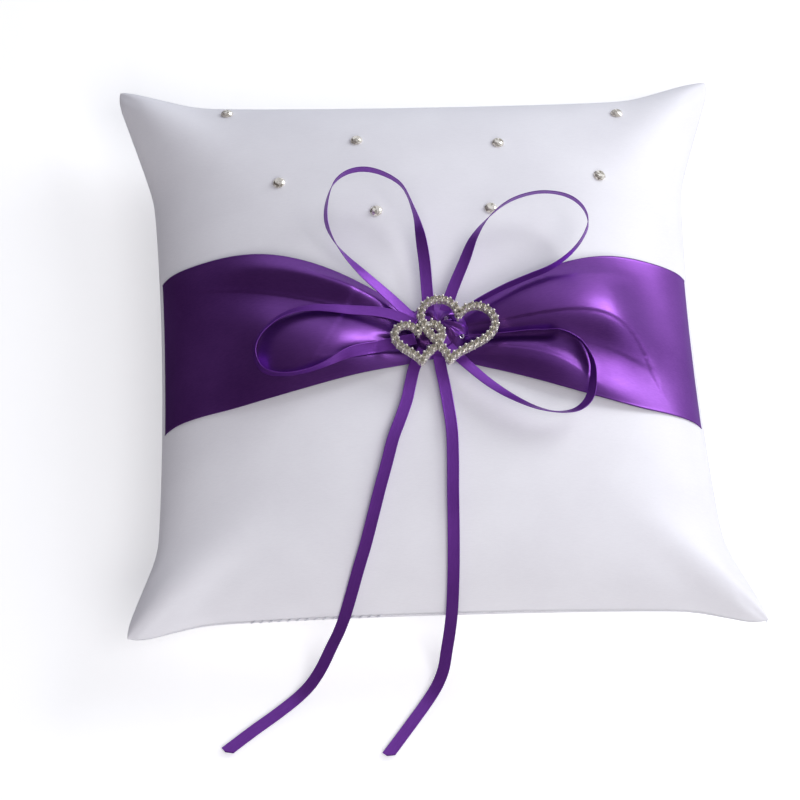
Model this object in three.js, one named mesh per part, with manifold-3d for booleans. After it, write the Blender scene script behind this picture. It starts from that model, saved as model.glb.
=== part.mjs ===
// A ring bearer pillow: a stuffed satin square with a gathered sash across its front, a four-loop
// bow of narrow ribbon whose two tails hold the rings, a double-heart brooch and eight stones.
// Millimetres. The pillow lies on its back: +Z up through its front, +Y towards its top edge.
import * as THREE from 'three';
import { mergeVertices } from 'three/addons/utils/BufferGeometryUtils.js';
import Module from 'manifold-3d';

const wasm = await Module();
wasm.setup();

// ---- driving dimensions -------------------------------------------------------------------
const HALF_SIDE = 93;          // centre to a corner, along X and along Y
const SIDE_PULL = 11.5;        // how far the left and right edges pull in at their middles
const TOP_PULL = 10.5;         // the same for the top edge
const BOTTOM_PULL = 5;         // and for the bottom edge
const SEAM_Z = 22;             // height of the seam over the table
const FRONT_CROWN = 29;        // front panel's height over the seam
const BACK_CROWN = 25;         // back panel's depth under the seam before the table flattens it
const CROWN_POWER = 0.9;       // how full the panels are towards their edges
const SEAM_GAP = 0.5;          // each panel's edge stops this far from the seam's mid plane
const CLOTH = 0.6;             // satin thickness
const DIMPLE_DEPTH = 5;        // how far the bow presses the front panel in
const DIMPLE_REACH_X = 30;
const DIMPLE_REACH_Y = 22;
const BOW_X = -1.5;            // centre of the bow
const BOW_Y = -11.5;
const FILL_EDGE = 4.2;         // the filling stays this far inside the seam
const FILL_GAP = 0.4;          // and this far inside the cloth
const THREAD = 0.4;            // sewing thread diameter
const OPENING_START = -58;     // the hand-closed stretch of the bottom seam, along X
const OPENING_END = -18;
const STITCH_PITCH = 2.5;      // hand stitches in it
const SASH_WIDTH = 51;         // 50 mm ribbon lying over the crown
const SASH_WAIST = 12;         // its drawn-in width under the bow
const SASH_LEFT_Y = -4.7;      // height of its middle at the left seam, the bow and the right seam
const SASH_MID_Y = -11.5;
const SASH_RIGHT_Y = -8;
const SASH_THICK = 0.5;
const SASH_GAP = 0.5;          // over the front panel
const WAIST_LIFT = 0.9;        // extra room under the waist for its gather thread
const WAIST_REACH = 0.08;      // how far along the sash that room reaches, as a share of its half
const OPEN_BY = 0.8;           // where the sash has opened to its full width, as the same share
const PLEATS = 3;
const PLEAT_HEIGHT = 1.6;
const RIBBON_WIDTH = 3.5;      // narrow ribbon of the loops and tails
const RIBBON_THICK = 0.8;
const KNOT_RADIUS = 5.5;
const KNOT_BOTTOM = 51;
const KNOT_TOP = 53.3;
const GLUE_TOP = 54.4;
const GLUE_HALF_X = 4.5;
const GLUE_HALF_Y = 4;
const SETTING_BOTTOM = 54.7;
const SETTING_THICK = 1.2;
const RIM_HALF = 0.95;         // half the width of the hearts' rims
const FIT_GAP = 0.3;           // between pieces that rest on each other
const CUP_STONE = 1.2;         // radius of the stones in the hearts
const CUP_STONE_HEIGHT = 1.1;
const FLAT_STONE = 1.55;       // radius of the single stones on the cloth
const FLAT_STONE_HEIGHT = 1.2;
const RIGHT_ANGLE = Math.PI / 2;
const SAME_POINT = 1e-4;       // points closer than this are one

// ---- finishes -------------------------------------------------------------------------------
const finish = (color, roughness, metalness = 0) =>
  new THREE.MeshStandardMaterial({ color, roughness, metalness });
const whiteSatin = finish(0xeceef6, 0.45);
const purpleSatin = finish(0x5a2590, 0.35);
const stuffing = finish(0xf6f6f2, 0.95);
const whiteThread = finish(0xf2f2f4, 0.7);
const silver = finish(0xc9c5bb, 0.2, 1);
const crystal = finish(0xe9e4d6, 0.05);
const clearGlue = finish(0xdedcea, 0.1);

const pillow = new THREE.Group();

function addPiece(name, geometry, material) {
  const mesh = new THREE.Mesh(geometry, material);
  mesh.name = name;
  pillow.add(mesh);
  return mesh;
}

// ---- joining closed bodies --------------------------------------------------------------------
function toSolid(geometry) {
  const bare = geometry.clone();
  bare.deleteAttribute('normal');
  bare.deleteAttribute('uv');
  const merged = mergeVertices(bare, SAME_POINT);
  const vertProperties = new Float32Array(merged.attributes.position.array);
  const triVerts = new Uint32Array(merged.index.array);
  return new wasm.Manifold(new wasm.Mesh({ numProp: 3, vertProperties, triVerts }));
}

function toGeometry(solid) {
  const mesh = solid.getMesh();
  const geometry = new THREE.BufferGeometry();
  geometry.setAttribute('position', new THREE.BufferAttribute(mesh.vertProperties, 3));
  geometry.setIndex(new THREE.BufferAttribute(mesh.triVerts, 1));
  return geometry;
}

const joinAll = (solids) => toGeometry(solids.reduce((whole, next) => whole.add(next)));

// ---- the pillow's surface -----------------------------------------------------------------------
// u and v run from -1 to 1 across the cut square. The outline pulls in between its corners.
function outlineX(v) {
  return HALF_SIDE - SIDE_PULL * (1 - Math.abs(v) ** 4);
}

function outlineY(u, v) {
  return v > 0 ? HALF_SIDE - TOP_PULL * (1 - u * u) : HALF_SIDE - BOTTOM_PULL * (1 - Math.abs(u) ** 3);
}

const fullness = (u, v) => Math.max((1 - u * u) * (1 - v * v), 0) ** (CROWN_POWER / 2);

function dimple(x, y) {
  const reach = ((x - BOW_X) / DIMPLE_REACH_X) ** 2 + ((y - BOW_Y) / DIMPLE_REACH_Y) ** 2;
  return DIMPLE_DEPTH * Math.exp(-reach);
}

// A point on the front panel's outside, or `offset` outside it (inside it when negative).
function frontPoint(u, v, offset) {
  const x = u * outlineX(v);
  const y = v * outlineY(u, v);
  const grow = 1 + offset / HALF_SIDE;
  const height = (FRONT_CROWN + offset - dimple(x, y)) * fullness(u, v);
  return new THREE.Vector3(x * grow, y * grow, SEAM_Z + SEAM_GAP + height);
}

// The same on the back panel, which the table flattens.
function backPoint(u, v, offset) {
  const grow = 1 + offset / HALF_SIDE;
  const depth = (BACK_CROWN + offset) * fullness(u, v);
  const z = Math.max(SEAM_Z - SEAM_GAP - depth, -offset);
  return new THREE.Vector3(u * outlineX(v) * grow, v * outlineY(u, v) * grow, z);
}

// A closed body between an upper and a lower skin over one grid. Where `shared` is true the two
// skins meet at their edge, and otherwise a narrow wall joins them all round.
function betweenSkins(upper, lower, columns, rows, shared = false) {
  const skin = (point) => {
    const points = [];
    for (let j = 0; j <= rows; j++) {
      for (let i = 0; i <= columns; i++) {
        points.push(point(i / columns, j / rows));
      }
    }
    return points;
  };
  const points = [...skin(upper), ...skin(lower)];
  const below = (columns + 1) * (rows + 1);
  const at = (i, j) => j * (columns + 1) + i;
  const faces = [];
  for (let j = 0; j < rows; j++) {
    for (let i = 0; i < columns; i++) {
      const [a, b, c, d] = [at(i, j), at(i + 1, j), at(i + 1, j + 1), at(i, j + 1)];
      faces.push(a, b, c, a, c, d);
      faces.push(below + a, below + c, below + b, below + a, below + d, below + c);
    }
  }
  const wall = (a, b) => faces.push(a, below + a, below + b, a, below + b, b);
  for (let i = 0; i < columns && !shared; i++) {
    wall(at(i, 0), at(i + 1, 0));
    wall(at(i + 1, rows), at(i, rows));
  }
  for (let j = 0; j < rows && !shared; j++) {
    wall(at(columns, j), at(columns, j + 1));
    wall(at(0, j + 1), at(0, j));
  }
  const geometry = new THREE.BufferGeometry().setFromPoints(points);
  geometry.setIndex(faces);
  return mergeVertices(geometry, SAME_POINT);
}

// Grid steps that crowd towards the edges, where the panels turn down to the seam.
const spread = (t) => Math.sin(RIGHT_ANGLE * (2 * t - 1));

// ---- cover and filling ------------------------------------------------------------------------
function coverPanels() {
  const across = 22;
  const front = betweenSkins(
    (s, t) => frontPoint(spread(s), spread(t), 0),
    (s, t) => frontPoint(spread(s), spread(t), -CLOTH), across, across);
  const back = betweenSkins(
    (s, t) => backPoint(spread(s), spread(t), -CLOTH),
    (s, t) => backPoint(spread(s), spread(t), 0), across, across);
  addPiece('front_cover_panel', front, whiteSatin);
  addPiece('back_cover_panel', back, whiteSatin);
}

// The filling thins to an edge where the panels come together at the seam.
function fibreFilling() {
  const across = 16;
  const thinBelow = 0.25;
  const shrink = 1 - FILL_EDGE / HALF_SIDE;
  const inset = -CLOTH - FILL_GAP;
  const fill = (panel, side) => (s, t) => {
    const [u, v] = [spread(s), spread(t)];
    const point = panel(u * shrink, v * shrink, inset);
    const edge = Math.min(1, fullness(u, v) / thinBelow);
    point.z = SEAM_Z + (point.z - side * FILL_GAP - SEAM_Z) * edge;
    return point;
  };
  const body = betweenSkins(fill(frontPoint, 1), fill(backPoint, 0), across, across, true);
  addPiece('fibre_filling', body, stuffing);
}

// ---- threads -------------------------------------------------------------------------------------
function threadAlong(points, steps) {
  const sides = 6;
  const section = Array.from({ length: sides }, (_, i) =>
    new THREE.Vector2(THREAD / 2, 0).rotateAround(new THREE.Vector2(), 2 * Math.PI * i / sides));
  const path = new THREE.CatmullRomCurve3(points, false, 'centripetal');
  return new THREE.ExtrudeGeometry(new THREE.Shape(section), { steps, extrudePath: path });
}

// The machine seam runs round from one end of the hand-closed stretch to the other, and turns each
// corner a little inside it.
function seamThread() {
  const inset = 1 - THREAD / HALF_SIDE;
  const corner = 0.985;
  const points = [];
  const put = (u, v) => {
    const point = new THREE.Vector3(u * outlineX(v) * inset, v * outlineY(u, v) * inset, SEAM_Z);
    points.push(point);
  };
  const along = 10;
  const clearOfEnd = 0.05;
  const fractions = Array.from({ length: along + 1 }, (_, i) => corner * spread(i / along));
  const startU = OPENING_END / HALF_SIDE;
  const endU = OPENING_START / HALF_SIDE;
  put(startU, -1);
  fractions.filter((u) => u > startU + clearOfEnd).forEach((u) => put(u, -1));
  fractions.forEach((v) => put(1, v));
  fractions.forEach((u) => put(-u, 1));
  fractions.forEach((v) => put(-1, -v));
  fractions.filter((u) => u < endU - clearOfEnd).forEach((u) => put(u, -1));
  put(endU, -1);
  addPiece('seam_thread', threadAlong(points, 84), whiteThread);
}

// A ladder stitch: in and out of the folded edge all along the hand-closed stretch.
function closingThread() {
  const endGap = 1;
  const stitchDepth = 1.2;
  const points = [];
  const stitches = Math.round((OPENING_END - OPENING_START - 2 * endGap) / STITCH_PITCH);
  for (let i = 0; i <= stitches; i++) {
    const x = OPENING_START + endGap + i * STITCH_PITCH;
    const edge = outlineY(x / HALF_SIDE, -1);
    points.push(new THREE.Vector3(x, -edge + (i % 2 ? 0 : stitchDepth), SEAM_Z));
  }
  addPiece('closing_thread', threadAlong(points, 2 * stitches), whiteThread);
}

// ---- sash ---------------------------------------------------------------------------------------
// 0 at the waist, 1 where the ribbon lies at its full width.
const openness = (u) => Math.sin(RIGHT_ANGLE * Math.min(1, Math.abs(u) / OPEN_BY)) ** 1.2;

function sashPoint(s, t, skin) {
  const u = spread(s);
  const across = 2 * t - 1;
  const open = openness(u);
  const endY = u < 0 ? SASH_LEFT_Y : SASH_RIGHT_Y;
  const middleY = SASH_MID_Y + (endY - SASH_MID_Y) * open;
  const halfWidth = (SASH_WAIST + (SASH_WIDTH - SASH_WAIST) * open) / 2;
  const v = (middleY + across * halfWidth) / outlineY(u, -1);
  const pleat = 0.5 - 0.5 * Math.cos(Math.PI * PLEATS * (across + 1));
  const lift = WAIST_LIFT * Math.exp(-((u / WAIST_REACH) ** 2));
  const ridge = PLEAT_HEIGHT * (1 - open) * pleat * Math.sqrt(1 - across * across);
  return frontPoint(u, v, SASH_GAP + lift + ridge + skin);
}

function sash() {
  const ribbon = betweenSkins((s, t) => sashPoint(s, t, SASH_THICK), (s, t) => sashPoint(s, t, 0), 32, 14);
  addPiece('sash_ribbon', ribbon, purpleSatin);
}

// The thread that draws the waist in: a ring round the sash, between it and the cover.
function gatherThread() {
  const tube = 0.1;
  const halfWidth = SASH_WAIST / 2 + 1.6;
  const halfHeight = 1.65;
  const overCover = 0.7;
  const ring = new THREE.TorusGeometry(1, tube, 6, 28);
  const position = ring.attributes.position;
  for (let i = 0; i < position.count; i++) {
    const point = new THREE.Vector3().fromBufferAttribute(position, i);
    const angle = Math.atan2(point.y, point.x);
    const out = (Math.hypot(point.x, point.y) - 1) / tube * THREAD / 2;
    const y = Math.cos(angle) * (halfWidth + out);
    const z = Math.sin(angle) * (halfHeight + out);
    position.setXYZ(i, point.z / tube * THREAD / 2, y, z);
  }
  const mesh = addPiece('sash_gather_thread', ring, whiteThread);
  const cover = frontPoint(0, SASH_MID_Y / outlineY(0, -1), 0);
  mesh.position.set(0, cover.y, cover.z + halfHeight + overCover);
}

// ---- bow ------------------------------------------------------------------------------------------
// Narrow ribbon as a flattened eight-sided section along its route, lying flat all the way.
function ribbonAlong(points, steps) {
  const path = new THREE.CatmullRomCurve3(points.map((p) => new THREE.Vector3(...p)), false, 'centripetal');
  const normalUp = Math.abs(path.computeFrenetFrames(steps).normals[0].z) > 0.5;
  const [w, h] = [RIBBON_WIDTH / 2, RIBBON_THICK / 2];
  const bevel = h * 0.6;
  const corners = [[h, w - bevel], [h - bevel, w], [bevel - h, w], [-h, w - bevel]];
  const outline = [...corners, ...corners.map(([x, y]) => [-x, -y])];
  const section = new THREE.Shape(outline.map(([x, y]) =>
    normalUp ? new THREE.Vector2(x, y) : new THREE.Vector2(y, -x)));
  return new THREE.ExtrudeGeometry(section, { steps, extrudePath: path });
}

const loops = {
  bow_loop_upper_left: [
    [-3, -5.3, 52.7], [-3.2, 3, 54], [-3.5, 11, 55.2], [-4.6, 20.5, 57], [-6, 27, 58], [-9.2, 34.2, 60],
    [-14.3, 37.7, 61], [-20.2, 39.2, 61.5], [-25.4, 38.2, 61.5], [-29.2, 35.3, 61], [-31.6, 29.7, 60],
    [-32.2, 23.4, 59], [-30.6, 18, 58], [-27.2, 13, 56.5], [-21.5, 7, 54.8], [-14.4, 0.5, 52.9],
    [-6.4, -8, 51.6],
  ],
  bow_loop_upper_right: [
    [1.4, -6.2, 51.6], [4.4, 2, 52.8], [8.4, 11, 54.2], [11.8, 18.6, 55.6], [16.5, 24.5, 57],
    [23.3, 29.3, 58.5], [32.4, 31.3, 59.5], [40.4, 29.7, 59.5], [44.6, 26, 59], [45.9, 21.5, 58],
    [44.1, 17, 57], [40.3, 12.4, 56], [34, 8, 55], [19.8, 2.2, 54], [10, -3, 53.2], [3.6, -7.8, 52.7],
  ],
  bow_loop_lower_left: [
    [-7, -9.1, 52.7], [-12, -6.5, 53.1], [-17.6, -5, 53.4], [-28.5, -4, 53.5], [-39.3, -3.4, 53.1],
    [-46.7, -5.6, 52.5], [-52.7, -10.7, 52], [-54.6, -16.2, 51.6], [-52.5, -22, 51.5],
    [-47.3, -24.4, 51.6], [-41.5, -24.6, 51.9], [-34.4, -23, 52.2], [-25.6, -18.9, 52.2],
    [-16.6, -15.4, 51.9], [-7.2, -13.2, 51.6],
  ],
  bow_loop_lower_right: [
    [2, -16.5, 52.7], [7, -22.6, 53], [13.8, -29.6, 53.2], [20.8, -34.7, 53.2], [27.8, -38, 52.9],
    [33.6, -39, 52.6], [38.7, -38, 52.4], [42.2, -34.5, 52.2], [43.9, -28.2, 52.2], [44, -22, 52.2],
    [41.5, -16.6, 52.2], [36, -13.8, 52.1], [29.5, -12.6, 52], [20, -12.8, 51.8], [4.3, -12.8, 51.6],
  ],
};

const tails = {
  tail_left: [
    [-4.9, -16.6, 51.6], [-6.6, -19.2, 51.2], [-8.2, -22.6, 50.2], [-9.4, -27, 49.6],
    [-10.8, -32.5, 49.5], [-13.2, -39, 49.4], [-15.2, -44, 49], [-17.6, -52, 47.6], [-19.8, -59, 46],
    [-22.2, -67, 43.4], [-24.4, -74, 40.4], [-26.8, -80.5, 36.4], [-28.8, -85.8, 31.4],
    [-30.4, -89.2, 25.5], [-32, -91.4, 19], [-34.4, -94, 12], [-37.2, -97.8, 6.4], [-40.2, -101.2, 3],
    [-43.6, -104.2, 1.4], [-50, -109.2, 1], [-57.4, -114.5, 1], [-65.9, -120.9, 1],
  ],
  tail_right: [
    [-0.9, -17.6, 51.6], [-0.6, -20, 51.1], [-0.2, -23, 50.2], [0.5, -27.4, 49.7], [1.1, -33, 49.6],
    [1.8, -42, 49.5], [1.7, -51, 48.1], [1.3, -60, 46.1], [1.1, -69, 42.9], [0.9, -77.6, 38.6],
    [0.7, -84, 33.4], [0.6, -88, 27.6], [0.5, -90, 22], [0.2, -92.2, 15.6], [-0.4, -95, 9.6],
    [-1.2, -98.6, 5], [-2.8, -102, 2.5], [-5.3, -105.8, 1.3], [-11.5, -114.1, 1], [-18.9, -123.7, 1],
  ],
};

function bow() {
  for (const [name, points] of Object.entries(loops)) {
    addPiece(name, ribbonAlong(points, 38), purpleSatin);
  }
  for (const [name, points] of Object.entries(tails)) {
    addPiece(name, ribbonAlong(points, 44), purpleSatin);
  }
  const edge = 0.5;
  const thick = KNOT_TOP - KNOT_BOTTOM;
  const profile = [
    [0, 0], [KNOT_RADIUS - edge, 0], [KNOT_RADIUS, edge],
    [KNOT_RADIUS, thick - edge], [KNOT_RADIUS - edge, thick], [0, thick],
  ].map(([r, z]) => new THREE.Vector2(r, z));
  const knot = new THREE.LatheGeometry(profile, 20);
  knot.rotateX(RIGHT_ANGLE);
  addPiece('bow_knot', knot, purpleSatin).position.set(BOW_X, BOW_Y, KNOT_BOTTOM);
}

// ---- brooch ---------------------------------------------------------------------------------------
// A heart centreline: width 32 and height 29 before it is scaled, point down, notch up.
function heartPoint(heart, t) {
  const x = 16 * Math.sin(t) ** 3;
  const y = 13 * Math.cos(t) - 5 * Math.cos(2 * t) - 2 * Math.cos(3 * t) - Math.cos(4 * t) + 17;
  const point = new THREE.Vector2(x, y).multiplyScalar(heart.scale);
  return point.rotateAround(new THREE.Vector2(), heart.tilt).add(heart.tip);
}

const largeHeart = {
  tip: new THREE.Vector2(1.9, -23.3), scale: 0.69, tilt: -0.23, stones: 35,
  insideFrom: new THREE.Vector2(-6, -20),   // where the small heart's chain has come inside it
};
const smallHeart = { tip: new THREE.Vector2(-6.1, -23.4), scale: 0.44, tilt: 0.07, stones: 23 };

// Points spaced evenly along the heart, with the outward direction at each.
function heartSteps(heart, count) {
  const fine = 720;
  const dense = Array.from({ length: fine + 1 }, (_, i) => heartPoint(heart, 2 * Math.PI * i / fine));
  const lengths = [0];
  for (let i = 1; i <= fine; i++) lengths.push(lengths[i - 1] + dense[i].distanceTo(dense[i - 1]));
  const total = lengths[fine];
  return Array.from({ length: count }, (_, k) => {
    const i = lengths.findIndex((length) => length >= total * (k + 0.5) / count);
    const ahead = dense[Math.min(i + 2, fine)].clone().sub(dense[Math.max(i - 2, 0)]).normalize();
    return { at: dense[i], out: new THREE.Vector2(-ahead.y, ahead.x) };
  });
}

// The rim is the heart grown by half the rim's width, less the heart shrunk by the same. Points
// that would cross at the notch or the point are left out.
function heartRim(heart) {
  const nearlyHalf = RIM_HALF * 0.985;
  const dense = heartSteps(heart, 300);
  const clear = (point) => dense.every(({ at }) => at.distanceTo(point) > nearlyHalf);
  const block = (offset, depth) => {
    const ring = heartSteps(heart, 48).map(({ at, out }) => at.clone().addScaledVector(out, offset));
    const outline = new THREE.Shape(ring.filter(clear));
    return toSolid(new THREE.ExtrudeGeometry(outline, { depth, bevelEnabled: false }));
  };
  const inside = block(-RIM_HALF, 3 * SETTING_THICK).translate(0, 0, -SETTING_THICK);
  return block(RIM_HALF, SETTING_THICK).subtract(inside);
}

// A stone with a flat back, a girdle low on its side and a flat table on top.
function stoneGeometry(radius, height, sides) {
  const profile = [
    [0, 0], [radius * 0.92, 0], [radius, height * 0.3], [radius * 0.55, height], [0, height],
  ].map(([r, z]) => new THREE.Vector2(r, z));
  return new THREE.LatheGeometry(profile, sides).rotateX(RIGHT_ANGLE);
}

function brooch() {
  const setting = joinAll([heartRim(largeHeart), heartRim(smallHeart)]);
  addPiece('double_heart_setting', setting, silver).position.z = SETTING_BOTTOM;
  const stonesZ = SETTING_BOTTOM + SETTING_THICK + FIT_GAP;
  const large = heartSteps(largeHeart, largeHeart.stones);
  const apart = 2 * CUP_STONE + FIT_GAP;
  const clearOfLarge = ({ at }) => large.every((other) => other.at.distanceTo(at) > apart);
  const chain = (steps) => joinAll(steps.map(({ at }) =>
    toSolid(stoneGeometry(CUP_STONE, CUP_STONE_HEIGHT, 6).translate(at.x, at.y, stonesZ))));
  addPiece('large_heart_stones', chain(large), crystal);
  const small = heartSteps(smallHeart, smallHeart.stones).filter(clearOfLarge);
  const insideLarge = ({ at }) => at.x >= largeHeart.insideFrom.x && at.y >= largeHeart.insideFrom.y;
  const outside = small.filter((step) => !insideLarge(step));
  const inside = small.filter(insideLarge);
  addPiece('small_heart_stones_outer', chain(outside), crystal);
  addPiece('small_heart_stones_inner', chain(inside), crystal);
  const glue = new THREE.SphereGeometry(1, 14, 8);
  glue.scale(GLUE_HALF_X, GLUE_HALF_Y, (GLUE_TOP - KNOT_TOP - FIT_GAP) / 2);
  addPiece('glue_pad', glue, clearGlue).position.set(0, BOW_Y, (GLUE_TOP + KNOT_TOP + FIT_GAP) / 2);
}

// ---- single stones on the cloth ---------------------------------------------------------------------
// Two rows in a shallow V above the sash, each stone on its own spot of glue.
const stoneSpots = [
  [-60.5, 77], [-20.8, 62.5], [22.6, 61], [61.8, 75], [-45.2, 47.5], [-16.8, 35.5], [18, 36], [53, 48.5],
];

function clothStones() {
  stoneSpots.forEach(([x, y], i) => {
    let [u, v] = [x / HALF_SIDE, y / HALF_SIDE];
    for (let pass = 0; pass < 30; pass++) {
      u = x / outlineX(v);
      v = y / outlineY(u, v);
    }
    const step = 1e-3;
    const spot = frontPoint(u, v, FIT_GAP);
    const alongU = frontPoint(u + step, v, FIT_GAP).sub(spot);
    const alongV = frontPoint(u, v + step, FIT_GAP).sub(spot);
    const normal = alongU.cross(alongV).normalize();
    const stone = addPiece(`rhinestone_${i + 1}`, stoneGeometry(FLAT_STONE, FLAT_STONE_HEIGHT, 8), crystal);
    stone.position.copy(spot);
    stone.quaternion.setFromUnitVectors(new THREE.Vector3(0, 0, 1), normal);
  });
}

coverPanels();
fibreFilling();
seamThread();
closingThread();
sash();
gatherThread();
bow();
brooch();
clothStones();

export default pillow;
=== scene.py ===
"""A ring bearer pillow: stuffed white satin, a gathered purple sash, a bow of narrow ribbon with
two tails for the rings, a double-heart brooch and eight single stones. Everything is in metres."""

import bmesh
import bpy
import numpy as np
from mathutils import Matrix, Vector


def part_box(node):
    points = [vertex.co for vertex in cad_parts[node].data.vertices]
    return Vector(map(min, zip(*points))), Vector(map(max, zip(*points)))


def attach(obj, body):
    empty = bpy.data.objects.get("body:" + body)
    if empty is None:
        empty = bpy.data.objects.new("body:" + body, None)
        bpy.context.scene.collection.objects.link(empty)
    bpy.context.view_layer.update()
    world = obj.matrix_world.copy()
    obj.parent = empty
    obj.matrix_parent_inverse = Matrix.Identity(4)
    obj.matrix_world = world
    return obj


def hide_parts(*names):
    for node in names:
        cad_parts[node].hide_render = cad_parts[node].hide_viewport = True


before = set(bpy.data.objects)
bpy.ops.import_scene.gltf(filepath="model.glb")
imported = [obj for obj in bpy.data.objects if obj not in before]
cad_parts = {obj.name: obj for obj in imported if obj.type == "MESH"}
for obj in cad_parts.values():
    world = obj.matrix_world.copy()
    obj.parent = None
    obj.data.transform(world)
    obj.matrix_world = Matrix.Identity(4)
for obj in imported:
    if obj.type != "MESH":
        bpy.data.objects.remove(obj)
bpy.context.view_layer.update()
MM = 0.001


def unit(vectors):
    """The vectors at length 1."""
    return vectors / np.maximum(np.linalg.norm(vectors, axis=-1, keepdims=True), 1e-12)


def stand(thing, right, up, back, place):
    """Puts a camera or a light at a place, with its own axes along three directions."""
    matrix = np.eye(4)
    matrix[:3, :3] = np.stack([right, up, back], axis=1)
    matrix[:3, 3] = place
    thing.matrix_world = Matrix(matrix)
    bpy.context.scene.collection.objects.link(thing)


# ---- camera -------------------------------------------------------------------------------------
# Stands in front of the bottom edge and looks down at the pillow, rolled a little to the left, with
# a long lens. It looks at a point on the seam's plane just left of and below the middle.
VIEW_AZIMUTH, VIEW_ELEVATION, VIEW_ROLL = np.radians([-8.5, 62.4, 6.15])
VIEW_DISTANCE = 0.913
SENSOR_WIDTH = 36.0
LENS = 136.5

seam_low, seam_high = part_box("seam_thread")
SEAM_Z = (seam_low.z + seam_high.z) / 2
look_at = np.array([-10.6 * MM, -18.05 * MM, SEAM_Z])
towards_camera = np.array([
    np.sin(VIEW_AZIMUTH) * np.cos(VIEW_ELEVATION),
    -np.cos(VIEW_AZIMUTH) * np.cos(VIEW_ELEVATION),
    np.sin(VIEW_ELEVATION),
])
level_right = unit(np.cross(-towards_camera, [0, 0, 1]))
level_up = np.cross(level_right, -towards_camera)
camera_right = level_right * np.cos(VIEW_ROLL) + level_up * np.sin(VIEW_ROLL)
camera_up = level_up * np.cos(VIEW_ROLL) - level_right * np.sin(VIEW_ROLL)
camera_data = bpy.data.cameras.new("camera")
camera_data.lens = LENS
camera_data.sensor_width = SENSOR_WIDTH
camera_data.clip_start = 0.01
camera = bpy.data.objects.new("camera", camera_data)
stand(camera, camera_right, camera_up, towards_camera, look_at + towards_camera * VIEW_DISTANCE)
bpy.context.scene.camera = camera


# ---- satin cover ----------------------------------------------------------------------------------
# Two squares of white duchess satin sewn face to face, turned and stuffed. The filling rounds them,
# pulls the sides in between the corners, and leaves the corners as flat ears.
_, front_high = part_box("front_cover_panel")
HALF_SIDE = front_high.x + 3.5 * MM
LEFT_PULL, RIGHT_PULL, TOP_PULL, BOTTOM_PULL = np.array([14.5, 16.5, 12.5, 8]) * MM
EAR_STARTS = {"left": (0.70, 0.55), "right": (0.72, 0.55), "top": (0.72, 0.70), "bottom": (0.74, 0.74)}
EASE = 0.3
HINGE_SOFT = 0.03
EAR_ROUND = 3.2 * MM
EAR_ROUND_FROM = 0.13
FRONT_CROWN = 29 * MM
BACK_CROWN = 25 * MM
CROWN_POWER = 0.9
DIMPLE = 5 * MM
DIMPLE_REACH = np.array([30, 22]) * MM
BOW_CENTRE = np.array([-1.5, -11.5]) * MM
CLOTH_THICK = 0.35 * MM
PANEL_CELLS = 64
FINE = 3
SIM_SCALE = 10
SIM_STEPS = 25
SIM_SMOOTH = 0.7
FORM_REACH = 3.5
FORM_HOLD = 2.5


def run_along(line):
    """How far along a line of points each of them lies."""
    return np.concatenate([[0], np.cumsum(np.linalg.norm(np.diff(line, axis=0), axis=1))])


def placed_along(line, run, at):
    """The places on a line of points where its run is `at`."""
    return np.stack([np.interp(at, run, line[:, k]) for k in range(line.shape[1])], axis=-1)


# How far round the panel's section each thread of the flat cloth lies: equal steps of cloth are
# equal steps of the section's length.
section_angle = np.linspace(-np.pi / 2, np.pi / 2, 2001)
section_x = (HALF_SIDE - LEFT_PULL) * np.sin(section_angle)
section_z = FRONT_CROWN * np.cos(section_angle) ** CROWN_POWER
section_run = run_along(np.stack([section_x, section_z], axis=-1))
section_run /= section_run[-1]


def around(flat):
    """The surface's u for a place 0..1 across the flat cloth: the sine of the section's angle there."""
    return np.sin(np.interp(flat, section_run, section_angle))


def across_flat(u):
    """The place 0..1 across the flat cloth for a u: the other way round."""
    return np.interp(np.arcsin(np.clip(u, -1, 1)), section_angle, section_run)


def pull_at(along, pull, before, after):
    """How far a side lies inside the straight line between its corners, at `along` from -1 to 1.
    It eases off slowly from its middle, then quickly and straight from where each ear starts: 1 less
    EASE times along^2, less the rest times a soft hinge from 0 at the ear's start to 1."""
    start = np.where(along < 0, before, after)

    def hinge(past):
        return (past + np.sqrt(past ** 2 + HINGE_SOFT ** 2)) / 2

    ear = (hinge(np.abs(along) - start) - hinge(-start)) / (hinge(1 - start) - hinge(-start))
    return pull * (1 - EASE * along ** 2 - (1 - EASE) * ear)


def ear_rounding(u, v):
    """How far an ear is rounded off: with the square of |u| + |v| near its corner."""
    return EAR_ROUND * np.clip((np.abs(u) + np.abs(v) - 2 + EAR_ROUND_FROM) / EAR_ROUND_FROM, 0, 1) ** 2


def outline(u, v):
    """x and y of the sewn outline scaled in to (u, v): the square's side, less its pull and the
    rounding of its ears."""
    side = np.where(u < 0, pull_at(v, LEFT_PULL, *EAR_STARTS["left"]),
                    pull_at(v, RIGHT_PULL, *EAR_STARTS["right"]))
    end = np.where(v < 0, pull_at(u, BOTTOM_PULL, *EAR_STARTS["bottom"]),
                   pull_at(u, TOP_PULL, *EAR_STARTS["top"]))
    rounding = ear_rounding(u, v)
    return u * (HALF_SIDE - side - rounding), v * (HALF_SIDE - end - rounding)


def crown(u, v):
    """1 at the middle, 0 at the seam: (1 - u^2)(1 - v^2) to half of CROWN_POWER."""
    return np.clip((1 - u ** 2) * (1 - v ** 2), 0, 1) ** (CROWN_POWER / 2)


def front_shape(u, v):
    """The front panel: the crown's height over the seam, less the dimple that the bow presses in."""
    x, y = outline(u, v)
    reach = ((x - BOW_CENTRE[0]) / DIMPLE_REACH[0]) ** 2 + ((y - BOW_CENTRE[1]) / DIMPLE_REACH[1]) ** 2
    return np.stack([x, y, SEAM_Z + (FRONT_CROWN - DIMPLE * np.exp(-reach)) * crown(u, v)], axis=-1)


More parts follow.
